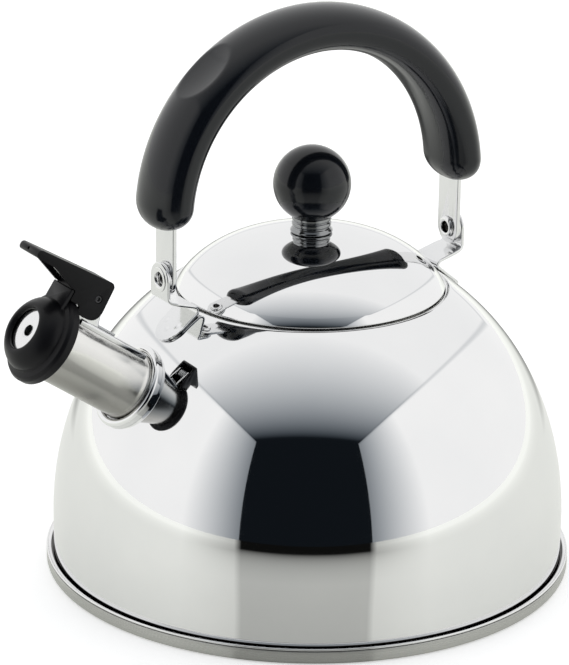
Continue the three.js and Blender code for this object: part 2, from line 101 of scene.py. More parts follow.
# The spout's frame has +Z along the spout, +X square to it and up, and +Y across. The tip's frame is turned
# the same way, and lies at the far end of the tube on the axis of the whistle.
SPOUT_FRAME = Matrix.Translation(Vector(SPOUT_ROOT) * MM) @ Matrix.Rotation(SPOUT_RISE - math.pi / 2, 4, "Y")
TIP_FRAME = SPOUT_FRAME @ Matrix.Translation(Vector((WHISTLE_LIFT, 0, SPOUT_LENGTH)) * MM)
WORLD = Matrix.Identity(4)


# Outlines, as lists of 2-D points

def arc(centre, radius, start, end, steps):
    """Points on an arc, with its angles in degrees."""
    angles = [math.radians(start + (end - start) * i / steps) for i in range(steps + 1)]
    return [Vector((centre[0] + radius * math.cos(a), centre[1] + radius * math.sin(a))) for a in angles]


def bezier(controls, t):
    """A point of the Bezier curve with these control points."""
    points = [Vector(p) for p in controls]
    while len(points) > 1:
        points = [a.lerp(b, t) for a, b in zip(points, points[1:])]
    return points[0]


def left_of(path, distance):
    """Moves each point of an open path to its left."""
    moved = []
    for i, point in enumerate(path):
        run = (path[min(i + 1, len(path) - 1)] - path[max(i - 1, 0)]).normalized()
        moved.append(point + Vector((-run.y, run.x)) * distance)
    return moved


def sheet_along(path, thickness):
    """The outline of a sheet whose right face follows the path."""
    return path + left_of(path, thickness)[::-1]


def last_where(holds, low, high):
    """The largest value between two others at which a condition that starts true still holds."""
    for _ in range(40):
        middle = (low + high) / 2
        if holds(middle):
            low = middle
        else:
            high = middle
    return low


def soften(outline, radius):
    """Rounds each sharp corner of a closed outline, as far as its sides allow.

    Points on the turning axis stay where they are.
    """
    outline = [Vector(p) for p in outline]
    rounded = []
    for i, corner in enumerate(outline):
        back = outline[i - 1] - corner
        ahead = outline[(i + 1) % len(outline)] - corner
        if corner.x == 0 or math.pi - back.angle(ahead) < math.radians(25):
            rounded.append(corner)
            continue
        reach = min(radius, 0.45 * back.length, 0.45 * ahead.length)
        ends = (corner + back.normalized() * reach, corner, corner + ahead.normalized() * reach)
        rounded += [bezier(ends, step / 4) for step in range(5)]
    return rounded


# Geometry, as a list of vertices and a list of faces

def turned(profile, sides=160):
    """A closed profile of (radius, height) points turned about +Z."""
    vertices = []
    rings = []
    for radius, height in profile:
        if radius < 1e-6:
            rings.append([len(vertices)] * sides)
            vertices.append((0, 0, height))
            continue
        rings.append([len(vertices) + i for i in range(sides)])
        angles = [2 * math.pi * i / sides for i in range(sides)]
        vertices += [(radius * math.cos(a), radius * math.sin(a), height) for a in angles]
    faces = []
    for lower, upper in zip(rings, rings[1:] + rings[:1]):
        for i in range(sides):
            j = (i + 1) % sides
            face = tuple(dict.fromkeys((lower[i], lower[j], upper[j], upper[i])))
            if len(face) > 2:
                faces.append(face)
    return vertices, faces


def tube_of_rings(rings, closed):
    """Skins a row of rings with equal numbers of points. An open row gets flat ends."""
    count = len(rings[0])
    vertices = [point for ring in rings for point in ring]
    faces = []
    for k in range(len(rings) if closed else len(rings) - 1):
        here = k * count
        there = (k + 1) % len(rings) * count
        for i in range(count):
            j = (i + 1) % count
            faces.append((here + i, here + j, there + j, there + i))
    if not closed:
        faces.append(tuple(range(count)))
        faces.append(tuple(range(len(vertices) - count, len(vertices))))
    return vertices, faces


def plate(outline, thickness, axes):
    """A flat plate centred on its plane. axes are those of the outline's x and y and of the thickness."""
    across, along, normal = (Vector(axis) for axis in axes)
    rings = []
    for side in (-0.5, 0.5):
        rings.append([across * p[0] + along * p[1] + normal * side * thickness for p in outline])
    return tube_of_rings(rings, closed=False)


def box(low, high):
    """A plain block between two corners."""
    corners = [(low[0], low[1]), (high[0], low[1]), (high[0], high[1]), (low[0], high[1])]
    return tube_of_rings([[(x, y, z) for x, y in corners] for z in (low[2], high[2])], closed=False)


YZ = ((0, 1, 0), (0, 0, 1), (1, 0, 0))
ALONG_UP = ((0, 0, 1), (1, 0, 0), (0, 1, 0))  # for outlines of (along, up) points in the tip's frame


def rod(radius, length, axis, centre, sides=64):
    """A cutter for a round hole."""
    direction = Vector(axis)
    turn = direction.to_track_quat("Z", "Y").to_matrix()
    rings = []
    for side in (-0.5, 0.5):
        circle = arc((0, 0), radius, 0, 360, sides)[:-1]
        rings.append([turn @ Vector((x, y, side * length)) + Vector(centre) for x, y in circle])
    return tube_of_rings(rings, closed=False)


# Objects

def raw_object(name, geometry, place=WORLD):
    """A mesh object made from millimetre geometry, with its faces pointing out."""
    vertices, faces = geometry
    mesh = bpy.data.meshes.new(name)
    mesh.from_pydata([Vector(v) * MM for v in vertices], [], faces)
    shape = bmesh.new()
    shape.from_mesh(mesh)
    bmesh.ops.remove_doubles(shape, verts=shape.verts, dist=1e-7)
    bmesh.ops.recalc_face_normals(shape, faces=shape.faces)
    shape.to_mesh(mesh)
    shape.free()
    obj = bpy.data.objects.new(name, mesh)
    bpy.context.scene.collection.objects.link(obj)
    obj.matrix_world = place
    return obj


def settle(obj):
    """Applies the object's modifiers to its mesh."""
    bpy.context.view_layer.update()
    evaluated = obj.evaluated_get(bpy.context.evaluated_depsgraph_get())
    mesh = bpy.data.meshes.new_from_object(evaluated)
    obj.modifiers.clear()
    obj.data = mesh
    return obj


def combine(obj, geometry, operation="DIFFERENCE"):
    """Cuts geometry, drawn in the object's frame, out of the object or joins it on."""
    return combine_with(obj, raw_object("tool", geometry, obj.matrix_world), operation)


def combine_with(obj, other, operation):
    """Cuts another object out of this one or joins it on, and uses it up."""
    modifier = obj.modifiers.new("combine", "BOOLEAN")
    modifier.operation = operation
    modifier.solver = "EXACT"
    modifier.object = other
    settle(obj)
    bpy.data.objects.remove(other)
    return obj


def bevel(obj, width, angle=35):
    """Rounds the object's sharp edges."""
    modifier = obj.modifiers.new("edges", "BEVEL")
    modifier.width = width * MM
    modifier.segments = 3
    modifier.limit_method = "ANGLE"
    modifier.angle_limit = math.radians(angle)
    modifier.use_clamp_overlap = True
    even = obj.modifiers.new("even", "WEIGHTED_NORMAL")
    even.keep_sharp = True
    return settle(obj)


def bake_place(obj):
    """Moves the object's placing into its mesh, so that its own coordinates are those of the kettle."""
    obj.data.transform(obj.matrix_world)
    obj.matrix_world = WORLD


def smooth(obj, angle=38):
    """Shades the object smooth, apart from edges sharper than the angle."""
    obj.data.shade_smooth()
    obj.data.set_sharp_from_angle(angle=math.radians(angle))
    return obj


def show(obj, body, material, *nodes):
    """Gives the piece its finish, lets it ride on its body, and hides the CAD nodes that it stands for."""
    obj.data.materials.clear()
    obj.data.materials.append(material)
    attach(obj, body)
    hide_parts(*nodes)
    return obj


def show_turned(node, profile, body, material, place=WORLD, edge=0.25, sides=160):
    """A turned piece that stands for one CAD node, with its corners a little rounded."""
    obj = raw_object("fine_" + node, turned(soften(profile, edge), sides), place)
    return show(smooth(obj), body, material, node)


# Materials

class Graph:
    """Adds nodes to a material. A socket's value may be another node's output."""

    def __init__(self, tree):
        self.tree = tree

    def add(self, kind, inputs, output=0, **settings):
        node = self.tree.nodes.new(kind)
        for name, value in settings.items():
            setattr(node, name, value)
        for socket, value in inputs.items():
            if isinstance(value, bpy.types.NodeSocket):
                self.tree.links.new(value, node.inputs[socket])
            else:
                node.inputs[socket].default_value = value
        return node.outputs[output]

    def math(self, operation, first, second=0.0):
        """A number worked out from one or two others."""
        return self.add("ShaderNodeMath", {0: first, 1: second}, operation=operation)

    def times(self, first, second):
        return self.math("MULTIPLY", first, second)

    def spread(self, value, low, high, start=0.0, end=1.0):
        """Maps the range from low to high onto start to end."""
        inputs = {"Value": value, "From Min": low, "From Max": high, "To Min": start, "To Max": end}
        return self.add("ShaderNodeMapRange", inputs)

    def blend(self, factor, first, second):
        """A colour between two others."""
        inputs = {0: factor, 6: (*first, 1), 7: (*second, 1)}
        return self.add("ShaderNodeMix", inputs, output=2, data_type="RGBA")

    def place(self, stretch=(1, 1, 1)):
        """The point on the piece, in metres, stretched along its axes."""
        where = self.add("ShaderNodeTexCoord", {}, output=3)
        return self.add("ShaderNodeMapping", {"Vector": where, "Scale": stretch})

    def noise(self, where, scale, detail=2.0):
        return self.add("ShaderNodeTexNoise", {"Vector": where, "Scale": scale, "Detail": detail})

    def parts(self, vector):
        """The x, y and z of a vector."""
        node = self.tree.nodes.new("ShaderNodeSeparateXYZ")
        self.tree.links.new(vector, node.inputs[0])
        return node.outputs

    def rings(self, spin, spread):
        """Coordinates for marks that run round the local Z axis: nearly the same all the way round."""
        x, y, z = self.parts(self.place())
        radius = self.math("SQRT", self.math("ADD", self.times(x, x), self.times(y, y)))
        turn = self.times(self.math("ARCTAN2", y, x), spin)
        inputs = {0: self.times(radius, spread), 1: self.times(z, spread), 2: turn}
        return self.add("ShaderNodeCombineXYZ", inputs)

    def along(self, vector, direction):
        """How far a vector runs in a direction."""
        return self.add("ShaderNodeVectorMath", {0: vector, 1: direction}, output=1, operation="DOT_PRODUCT")

    def length(self, vector):
        return self.add("ShaderNodeVectorMath", {0: vector}, output=1, operation="LENGTH")

    def within(self, radius, height, axes):
        """1 within a radius of an axis at a height, and 0 outside it. axes picks the plane of the radius."""
        blur = 0.15
        centre = (0, 0, height * MM)
        from_centre = self.add("ShaderNodeVectorMath", {0: self.place(), 1: centre}, operation="SUBTRACT")
        flat = self.add("ShaderNodeVectorMath", {0: from_centre, 1: axes}, operation="MULTIPLY")
        return self.spread(self.length(flat), (radius - blur) * MM, (radius + blur) * MM, 1.0, 0.0)


def new_material(name, **sockets):
    """A Principled material of the record's slot, with its shader and a Graph to add to it."""
    material = bpy.data.materials.new("fine_" + name)
    material["slot"] = name
    material.use_nodes = True
    shader = material.node_tree.nodes["Principled BSDF"]
    for socket, value in sockets.items():
        shader.inputs[socket.replace("_", " ")].default_value = value
    return material, shader, Graph(material.node_tree)


def drive(graph, shader, socket, value):
    """Lets a node's output set one of the shader's inputs."""
    graph.tree.links.new(value, shader.inputs[socket])


def add_bump(graph, shader, height, distance, strength=1.0):
    inputs = {"Height": height, "Distance": distance, "Strength": strength}
    drive(graph, shader, "Normal", graph.add("ShaderNodeBump", inputs))


# Heights across the spout where the painted shade on its underside is full and where it ends, in metres
UNDERSIDE_SHADE_EDGES = (-0.7 * SPOUT_RADIUS * MM, 0.5 * SPOUT_RADIUS * MM)


def steel(name, light, dark, roughness, wave, hollow=None):
    """Polished metal: a nearly clean mirror with wiping marks, and faint clouds, or instead painted shade: a
    dark disc round an axis where a groove or recess lies in shadow.
    """
    material, shader, graph = new_material(name, Metallic=1.0)
    share = graph.within(*hollow) if hollow else graph.spread(graph.noise(graph.place(), 26, 4), 0.35, 0.65)
    drive(graph, shader, "Base Color", graph.blend(share, light, dark))
    wipe = graph.noise(graph.place((1, 1, 3)), 140, 5)
    drive(graph, shader, "Roughness", graph.spread(wipe, 0.3, 0.75, roughness, 1.8 * roughness))
    add_bump(graph, shader, graph.noise(graph.place(), 60, 1), wave * MM)
    return material


def brushed(name, light, dark, roughness, depth, shaded_below=False):
    """Metal with fine lines round the piece's own Z axis. One shaded below gets painted shade instead: its
    colour is darker below that axis.
    """
    material, shader, graph = new_material(name, Metallic=1.0)
    fine = graph.noise(graph.rings(0.35, 4200), 1.0, 3)
    broad = graph.noise(graph.rings(0.8, 500), 1.0, 2)
    lines = graph.math("ADD", graph.times(fine, 0.65), graph.times(broad, 0.35))
    if shaded_below:
        share = graph.spread(graph.along(graph.place(), (1, 0, 0)), *UNDERSIDE_SHADE_EDGES)
    else:
        share = graph.spread(lines, 0.3, 0.7)
    drive(graph, shader, "Base Color", graph.blend(share, dark, light))
    drive(graph, shader, "Roughness", graph.spread(lines, 0.3, 0.7, 1.25 * roughness, 0.85 * roughness))
    add_bump(graph, shader, lines, depth * MM)
    return material


def moulded(name, light, dark, roughness, grain_scale, depth, gloss, coat):
    """Black moulded plastic with a slight grain and faint handling marks."""
    finish = {"Coat_Weight": coat, "Coat_Roughness": 0.06, "Specular_IOR_Level": gloss}
    material, shader, graph = new_material(name, **finish)
    handling = graph.noise(graph.place(), 45, 5)
    drive(graph, shader, "Base Color", graph.blend(graph.spread(handling, 0.35, 0.7), dark, light))
    drive(graph, shader, "Roughness", graph.spread(handling, 0.3, 0.75, roughness, 1.35 * roughness))
    add_bump(graph, shader, graph.noise(graph.place(), grain_scale, 2), depth * MM)
    return material


# Polished steel
mirror_steel = steel("mirror_steel", (0.87, 0.87, 0.87), (0.84, 0.842, 0.845), 0.022, 0.003)
bright_steel = steel("bright_steel", (0.84, 0.84, 0.84), (0.78, 0.785, 0.79), 0.09, 0.01)
# Darker copy of bright steel for the knob's stem: painted shade under the ball
stem_painted_shade_steel = steel("bright_steel", (0.34, 0.345, 0.35), (0.28, 0.285, 0.29), 0.1, 0.012)
# Darker copy of bright steel for the hinge pin: painted shade, so that its ends look like dark recesses
pin_painted_shade_steel = steel("bright_steel", (0.1, 0.1, 0.105), (0.07, 0.07, 0.075), 0.3, 0.01)
spring_steel = steel("spring_steel", (0.62, 0.63, 0.64), (0.5, 0.51, 0.52), 0.2, 0.004)
# Painted shade: light steel, and the dark colour painted where a groove or recess lies in shadow
painted_shade_colours = ((0.84, 0.84, 0.84), (0.05, 0.048, 0.045))
seam_painted_shade_steel = steel("mirror_steel", *painted_shade_colours, 0.06, 0.004, (SEAM_RADIUS, 0, (1, 1, 0)))
rivet_painted_shade_steel = steel("bright_steel", *painted_shade_colours, 0.1, 0.01, (RIVET_HOLLOW, PIVOT_Z, (0, 1, 1)))

# Metal with turned or drawn lines
satin_steel = brushed("satin_steel", (0.58, 0.58, 0.56), (0.44, 0.44, 0.425), 0.26, 0.009)
# The spout's tube: painted shade makes its underside darker
drawn_steel = brushed("satin_steel", (0.82, 0.815, 0.79), (0.33, 0.325, 0.305), 0.17, 0.0008, shaded_below=True)
heat_spreader = brushed("heat_spreader", (0.72, 0.73, 0.74), (0.6, 0.61, 0.62), 0.42, 0.02)
insert_brass = brushed("insert_brass", (0.72, 0.54, 0.27), (0.6, 0.43, 0.2), 0.28, 0.01)

# Plastics
phenolic_colours = ((0.006, 0.0075, 0.01), (0.004, 0.005, 0.0075))
black_phenolic = moulded("black_phenolic", *phenolic_colours, 0.13, 500, 0.004, 0.3, 0.25)
nylon_colours = ((0.008, 0.008, 0.01), (0.004, 0.004, 0.005))
black_nylon = moulded("black_nylon", *nylon_colours, 0.3, 2600, 0.02, 0.2, 0.0)


# Body

def dome_parameter(radius):
    """Parameter of the dome's curve at a radius, which only shrinks along the curve."""
    return last_where(lambda t: bezier(DOME_CURVE, t).x > radius, 0.0, 1.0)


def dome_radius(z):
    """The dome's outside radius at a height."""
    return bezier(DOME_CURVE, last_where(lambda t: bezier(DOME_CURVE, t).y < z, 0.0, 1.0)).x


def neck_roll():
    """The roll round the mouth, from the dome's edge over the top and down to the neck."""
    edge = bezier(DOME_CURVE, 1)
    run = (edge - bezier(DOME_CURVE, 0.999)).normalized()
    centre = Vector((edge.x - run.y * NECK_ROLL, edge.y + run.x * NECK_ROLL))
    start = math.degrees(math.atan2(edge.y - centre.y, edge.x - centre.x))
    return arc(centre, NECK_ROLL, start, 180, 16), centre


def make_dome():
    """One sheet from the foot of the wall to the neck inside the mouth, with the spout's hole."""
    side = [bezier(DOME_CURVE, i / 90) for i in range(91)]
    wall = [Vector((BODY_RADIUS, DOME_FOOT_Z + step)) for step in (0, 4, 8)]
    roll, centre = neck_roll()
    neck = Vector((centre.x - NECK_ROLL, centre.y - NECK_DEPTH))
    path = wall + side + roll[1:] + [neck]
    obj = raw_object("fine_dome_shell", turned(sheet_along(path, BODY_SHEET), 192))
    into_dome = SPOUT_FRAME.to_3x3() @ Vector((0, 0, 1))
    combine(obj, rod(SPOUT_HOLE_RADIUS, 30, into_dome, SPOUT_ROOT))
    show(smooth(obj), "kettle_body", mirror_steel, "dome_shell")


def make_base():
    """The brushed cover, the heat-spreading disc in it, and the pan whose lip shows above it."""
    cover_sheet = 0.8
    core_top = BASE_HEIGHT - 0.5
    inner = BASE_RADIUS - cover_sheet
    corner = arc((BASE_RADIUS - 1.6, 1.6), 1.6, -90, 0, 8)
    rim = [(BASE_RADIUS, BASE_HEIGHT), (inner, BASE_HEIGHT), (inner, 1.6)]
    floor = [(inner - 0.8, cover_sheet), (0, cover_sheet)]
    show_turned("base_cover", [(0, 0)] + corner + rim + floor, "kettle_body", satin_steel, sides=192)
    radius = inner - 0.8 - GAP
    bottom = cover_sheet + GAP
    core = [(0, bottom), (radius, bottom), (radius, core_top), (0, core_top)]
    show_turned("base_core", core, "kettle_body", heat_spreader)
    pan_bottom = core_top + GAP
    lip_z = BASE_HEIGHT + GAP
    lip = arc((BASE_RADIUS - 0.35, lip_z + 0.35), 0.35, -30, 150, 10)
    pan_top = pan_bottom + 0.2
    step = BASE_RADIUS - 1.1
    foot = [(0, pan_bottom), (step, pan_bottom), (step, lip_z), (BASE_RADIUS - 0.1, lip_z)]
    shelf = BODY_RADIUS + 0.8
    top = [(BASE_RADIUS - 0.75, lip_z + 0.5), (shelf, lip_z + 0.3), (shelf, pan_top), (0, pan_top)]
    # The pan's colour is painted dark inside SEAM_RADIUS, as painted shade in the groove.
    show_turned("bottom_pan", foot + lip + top, "kettle_body", seam_painted_shade_steel, edge=0.1, sides=192)


# Spout

def distance_to_dome(radius, angle, margin):
    """How far along the spout's axis a line at this radius and angle leaves the dome, grown by a margin."""

    def inside_dome(along):
        local = Vector((radius * math.cos(angle), radius * math.sin(angle), along))
        point = SPOUT_FRAME @ (local * MM) / MM
        return math.hypot(point.x, point.y) < dome_radius(point.z) + margin

    return last_where(inside_dome, -40.0, 40.0)


def rooted(profile, root_radii, sides=128):
    """A turned piece whose inner end lies on the dome. The profile joins the two root radii."""
    rings = []
    for i in range(sides):
        angle = 2 * math.pi * i / sides
        outer, inner = (Vector((r, distance_to_dome(r, angle, 0.05))) for r in root_radii)
        section = [outer] + [Vector(p) for p in profile] + [inner]
        rings.append([(p.x * math.cos(angle), p.x * math.sin(angle), p.y) for p in section])
    return tube_of_rings(rings, closed=True)


def make_spout():
    """The tube, flared at its root, and the rolled collar round it."""
    root = SPOUT_RADIUS + 0.4
    flare = [bezier([(root, 1), (root, 2), (SPOUT_RADIUS, 2.5), (SPOUT_RADIUS, 4)], t / 8) for t in range(9)]
    inner = SPOUT_RADIUS - SPOUT_SHEET
    lip = arc((SPOUT_RADIUS - SPOUT_SHEET / 2, SPOUT_LENGTH - SPOUT_SHEET / 2), SPOUT_SHEET / 2, 0, 180, 8)
    outside = flare + [Vector((SPOUT_RADIUS, t)) for t in (10, 20, 30)]
    profile = outside + lip + [Vector((inner, t)) for t in (30, 20, 10)]
    tube = raw_object("fine_spout_tube", rooted(profile, (root, inner)), SPOUT_FRAME)
    show(smooth(tube), "kettle_body", drawn_steel, "spout_tube")
    bead = 1.35
    middle = root + GAP + bead
    groove = middle - bead
    ring = [(middle + bead, 0.2)] + arc((middle, 0.5), bead, 0, 180, 16) + [(groove, 0.2)]
    collar = raw_object("fine_spout_collar", rooted(ring, (middle + bead, groove)), SPOUT_FRAME)
    show(smooth(collar), "kettle_body", mirror_steel, "spout_collar")


# Hinge of the whistle, in the tip's frame

SADDLE_TOP = 12.25


def make_saddle():
    """A folded channel along the top of the spout, with two ears that hold the hinge pin."""
    rail = 5.5
    sheet = 0.8
    shoulder = arc((rail - sheet, SADDLE_TOP - sheet), sheet, 0, 90, 6)
    near = [(rail - sheet, 10.7), (rail, 10.3)] + [tuple(p) for p in shoulder]
    half = [(rail - sheet, SADDLE_TOP - 0.65)] + near
    channel = half + [(-across, up) for across, up in reversed(half)]
    rear = 3.5 - SPOUT_LENGTH
    front = PIN_ALONG + 0.9
    rings = [[(up, across, along) for across, up in channel] for along in (rear, front)]
    saddle = raw_object("fine_spout_bracket", tube_of_rings(rings, closed=False), TIP_FRAME)
    ear_radius = 3.4
    ear_heel = PIN_ALONG - 6.5
    ear_across = 4.1
    ear = [(ear_heel, SADDLE_TOP - 0.5), (PIN_ALONG + ear_radius, SADDLE_TOP - 0.5)]
    ear += [tuple(p) for p in arc((PIN_ALONG, PIN_UP), ear_radius, 0, 180, 32)]
    ear += [(ear_heel, SADDLE_TOP + 0.8)]
    for side in (-1, 1):
        vertices, faces = plate(ear, sheet, ALONG_UP)
        moved = [Vector(v) + Vector((0, side * ear_across, 0)) for v in vertices]
        combine(saddle, (moved, faces), "UNION")
    combine(saddle, rod(PIN_RADIUS + 0.05, 30, (0, 1, 0), (PIN_UP, 0, PIN_ALONG)))
    show(smooth(bevel(saddle, 0.15)), "kettle_body", bright_steel, "spout_bracket")


def make_pin():
    """The hinge pin, with a dimple in each riveted end."""
    half = LEVER_WIDTH / 2 - 0.2
    end = [(0, half - 0.8), (0.5, half - 0.7), (0.75, half), (PIN_RADIUS, half)]
    profile = [(radius, -height) for radius, height in end] + end[::-1]
    middle = Matrix.Translation(Vector((PIN_UP, 0, PIN_ALONG)) * MM)
    axis = TIP_FRAME @ middle @ Matrix.Rotation(math.pi / 2, 4, "X")
    # The pin gets dark steel, as painted shade in its recessed ends.
    show_turned("whistle_pin", profile, "kettle_body", pin_painted_shade_steel, axis, edge=0.15, sides=48)


def swept_wire(path, radius, sides=14):
    """A round wire along a smooth path."""
    rings = []
    side = Vector((0, 0, 1))
    for i, point in enumerate(path):
        run = (path[min(i + 1, len(path) - 1)] - path[max(i - 1, 0)]).normalized()
        side = (side - run * side.dot(run)).normalized()
        other = run.cross(side)
        circle = arc((0, 0), radius, 0, 360, sides)[:-1]
        rings.append([point + side * x + other * y for x, y in circle])
    return tube_of_rings(rings, closed=False)


def make_spring():
    """The closing spring: a coil round the pin, and a leg that lies on the saddle's floor."""
    wire = 0.45
    turns = 4.75
    coil_radius = 2.2
    steps = 220
    path = []
    for i in range(steps + 1):
        angle = 2 * math.pi * turns * (i / steps) - math.pi / 2
        across = 2.7 - 5.4 * i / steps
        up = PIN_UP + coil_radius * math.sin(angle)
        path.append(Vector((up, across, PIN_ALONG - coil_radius * math.cos(angle))))
    # The wire leaves the coil, bends down to the floor and runs back along it.
    start = path[-1]
    heading = (path[-1] - path[-2]).normalized()
    floor = SADDLE_TOP + wire
    bend = [start, start + heading * 4, Vector((floor, -3.4, -10)), Vector((floor, -3.7, -13))]
    path += [bezier(bend, step / 16) for step in range(1, 17)]
    path += [Vector((floor, -3.8, -13 - step)) for step in (1.5, 3.5, 5.5, 7)]
    spring = raw_object("fine_whistle_spring", swept_wire(path, wire), TIP_FRAME)
    show(smooth(spring, 60), "kettle_body", spring_steel, "whistle_spring")


# Whistle, in the tip's frame

def make_cap():
    """The moulded cap: a stepped bell with a shield and a block that carry the lever."""
    bulge = [bezier([(13.6, 5.4), (13.5, 7.6), (12.1, 9.4), (10.2, 10.8)], t / 14) for t in range(15)]
    top = WHISTLE_FRONT
    front = [(9.4, top - 0.2), (8.7, top), (8.1, top), (7.5, top - 0.6), (7.5, 9.8), (WHISTLE_BORE, 9.8)]
    flange = [
        (WHISTLE_BORE, WHISTLE_REAR),
        (WHISTLE_RADIUS - 0.4, WHISTLE_REAR),
        (WHISTLE_RADIUS, WHISTLE_REAR + 0.5),
        (WHISTLE_RADIUS, 3.3),
        (WHISTLE_RADIUS - 0.8, 4.5),
        (13.8, 5),
    ]
    cap = raw_object("fine_whistle_cap", turned(soften(flange + bulge + front, 0.35), 144), TIP_FRAME)
    # The shield and the block, as boxes between (up, across, along) corners
    half_shield = LEVER_WIDTH / 2 - 0.1
    shield = raw_object("shield", box((11.4, -half_shield, 4.6), (19.4, half_shield, 6.1)), TIP_FRAME)
    half_block = (LEVER_WIDTH - 2 * LEVER_WALL - 0.7) / 2
    block = raw_object("block", box((12.4, -half_block, 0.5), (25, half_block, 5)), TIP_FRAME)
    for part in (shield, block):
        combine_with(cap, bevel(part, 0.4), "UNION")
    bake_place(cap)
    show(smooth(cap), "whistle", black_nylon, "whistle_cap")


def make_whistle_parts():
    """Two pierced discs and the ring that keeps them apart."""
    outer = WHISTLE_BORE - GAP
    for node, bottom in (("whistle_front_disc", 8.7), ("whistle_rear_disc", 4.3)):
        top = bottom + 0.8
        hole = WHISTLE_HOLE
        disc = [(hole, bottom), (outer, bottom), (outer, top), (3.4, top), (hole, top - 0.35)]
        show_turned(node, disc, "whistle", bright_steel, TIP_FRAME, edge=0.15, sides=96)
    ring = [(8.2, 5.4), (outer, 5.4), (outer, 8.4), (8.2, 8.4)]
    show_turned("whistle_spacer", ring, "whistle", heat_spreader, TIP_FRAME, sides=96)


def make_lever():
    """The thumb lever: a hood with a sloping top and a cheek down each side, open behind and below."""
    heel = [bezier([(-9.4, 17.6), (-9.3, 13.2), (-5.1, 12.9)], t / 8) for t in range(9)]
    tip = [bezier([(23.4, 22.9), (24.9, 22.9), (24.9, 24.4)], t / 6) for t in range(7)]
    tip += [bezier([(24.9, 24.4), (24.9, 25.9), (23.2, 26)], t / 6) for t in range(1, 7)]
    outline = tip + [(-7.5, 28), (-8.7, 26.9)] + heel + [
        (-0.1, 12.9),
        (-0.1, 15.75),
        (4.5, 15.75),
        (4.5, 19.6),
        (5.9, 19.6),
        (16.4, 22.9),
    ]
    lever = raw_object("fine_whistle_lever", plate(soften(outline, 0.9), LEVER_WIDTH, ALONG_UP), TIP_FRAME)
    hollow = [(16.4, 10), (16.4, 24.5), (-8.7, 26.2), (-14, 26.5), (-14, 10)]
    combine(lever, plate(hollow, LEVER_WIDTH - 2 * LEVER_WALL, ALONG_UP))
    combine(lever, rod(PIN_RADIUS + 0.15, 30, (0, 1, 0), (PIN_UP, 0, PIN_ALONG)))
    combine(lever, rod(0.6, 1, (0, 0, 1), (24.4, 0.5, 24.9), 24))
    bevel(lever, 0.3)
    bake_place(lever)
    show(smooth(lever), "whistle", black_nylon, "whistle_lever")


# Handle

BRACKET_GAP = 0.1
FOLD_RADIUS = 1.6
FOOT_END = 61.8


def bracket_path():
    """The middle of the bracket's sheet in (x, z): up the dome, round a fold, out a shelf and up a tab."""
    half = BRACKET_SHEET / 2
    foot_reach = 11.2
    radii = [FOOT_END - foot_reach * i / 30 for i in range(31)]
    on_dome = [bezier(DOME_CURVE, dome_parameter(radius)) for radius in radii]
    foot = left_of(on_dome, -(BRACKET_GAP + half))
    run = (foot[-1] - foot[-2]).normalized()
    fold = Vector((foot[-1].x + run.y * FOLD_RADIUS, foot[-1].y - run.x * FOLD_RADIUS))
    slope = 16
    start = math.degrees(math.atan2(foot[-1].y - fold.y, foot[-1].x - fold.x))
    turn = arc(fold, FOLD_RADIUS, start % 360, 90 + slope, 16)
    end_x = TAB_X - 1.8
    shelf_end = Vector((end_x, turn[-1].y + (end_x - turn[-1].x) * math.tan(math.radians(slope))))
    controls = [shelf_end, (TAB_X, shelf_end.y + 0.5), (TAB_X, shelf_end.y + 2.2)]
    corner = [bezier(controls, t / 8) for t in range(9)]
    top = Vector((TAB_X, PIVOT_Z + STRIP_WIDTH / 2))
    return foot + turn[1:] + corner + [top]


class Ribbon:
    """An even walk along a path of 2-D points, by distance."""

    def __init__(self, path):
        self.path = path
        self.marks = [0.0]
        for a, b in zip(path, path[1:]):
            self.marks.append(self.marks[-1] + (b - a).length)
        self.length = self.marks[-1]

    def at(self, distance):
        """The point and the direction of the path there."""
        i = 0
        while i < len(self.marks) - 2 and self.marks[i + 1] < distance:
            i += 1
        a, b = self.path[i], self.path[i + 1]
        share = (distance - self.marks[i]) / (self.marks[i + 1] - self.marks[i])
        return a.lerp(b, share), (b - a).normalized()


WELDS = [(57.2, -3.8), (57.2, 3.8), (59.3, 0)]  # dimples of each foot's spot welds, as (radius, across)


def weld_depth(x, y):
    """How deep the spot welds press the foot in at a point."""
    depth = 0.54
    spread = 0.6
    return sum(depth * math.exp(-((x - a) ** 2 + (y - b) ** 2) / spread) for a, b in WELDS)


def half_width(ribbon, distance, inset):
    """Half the bracket's width: a round foot, straight sides, a slight taper and a round top."""
    foot_radius = BRACKET_WIDTH / 2 - inset
    tab_radius = STRIP_WIDTH / 2 - inset
    from_foot = distance - inset
    from_top = ribbon.length - distance - inset
    if from_foot < foot_radius:
        return math.sqrt(max(foot_radius ** 2 - (foot_radius - from_foot) ** 2, 0))
    if from_top < tab_radius:
        return math.sqrt(max(tab_radius ** 2 - (tab_radius - from_top) ** 2, 0))
    taper_start = 12
    taper_length = 4
    taper = min(max((from_top + inset - taper_start) / taper_length, 0), 1)
    return tab_radius + (foot_radius - tab_radius) * taper


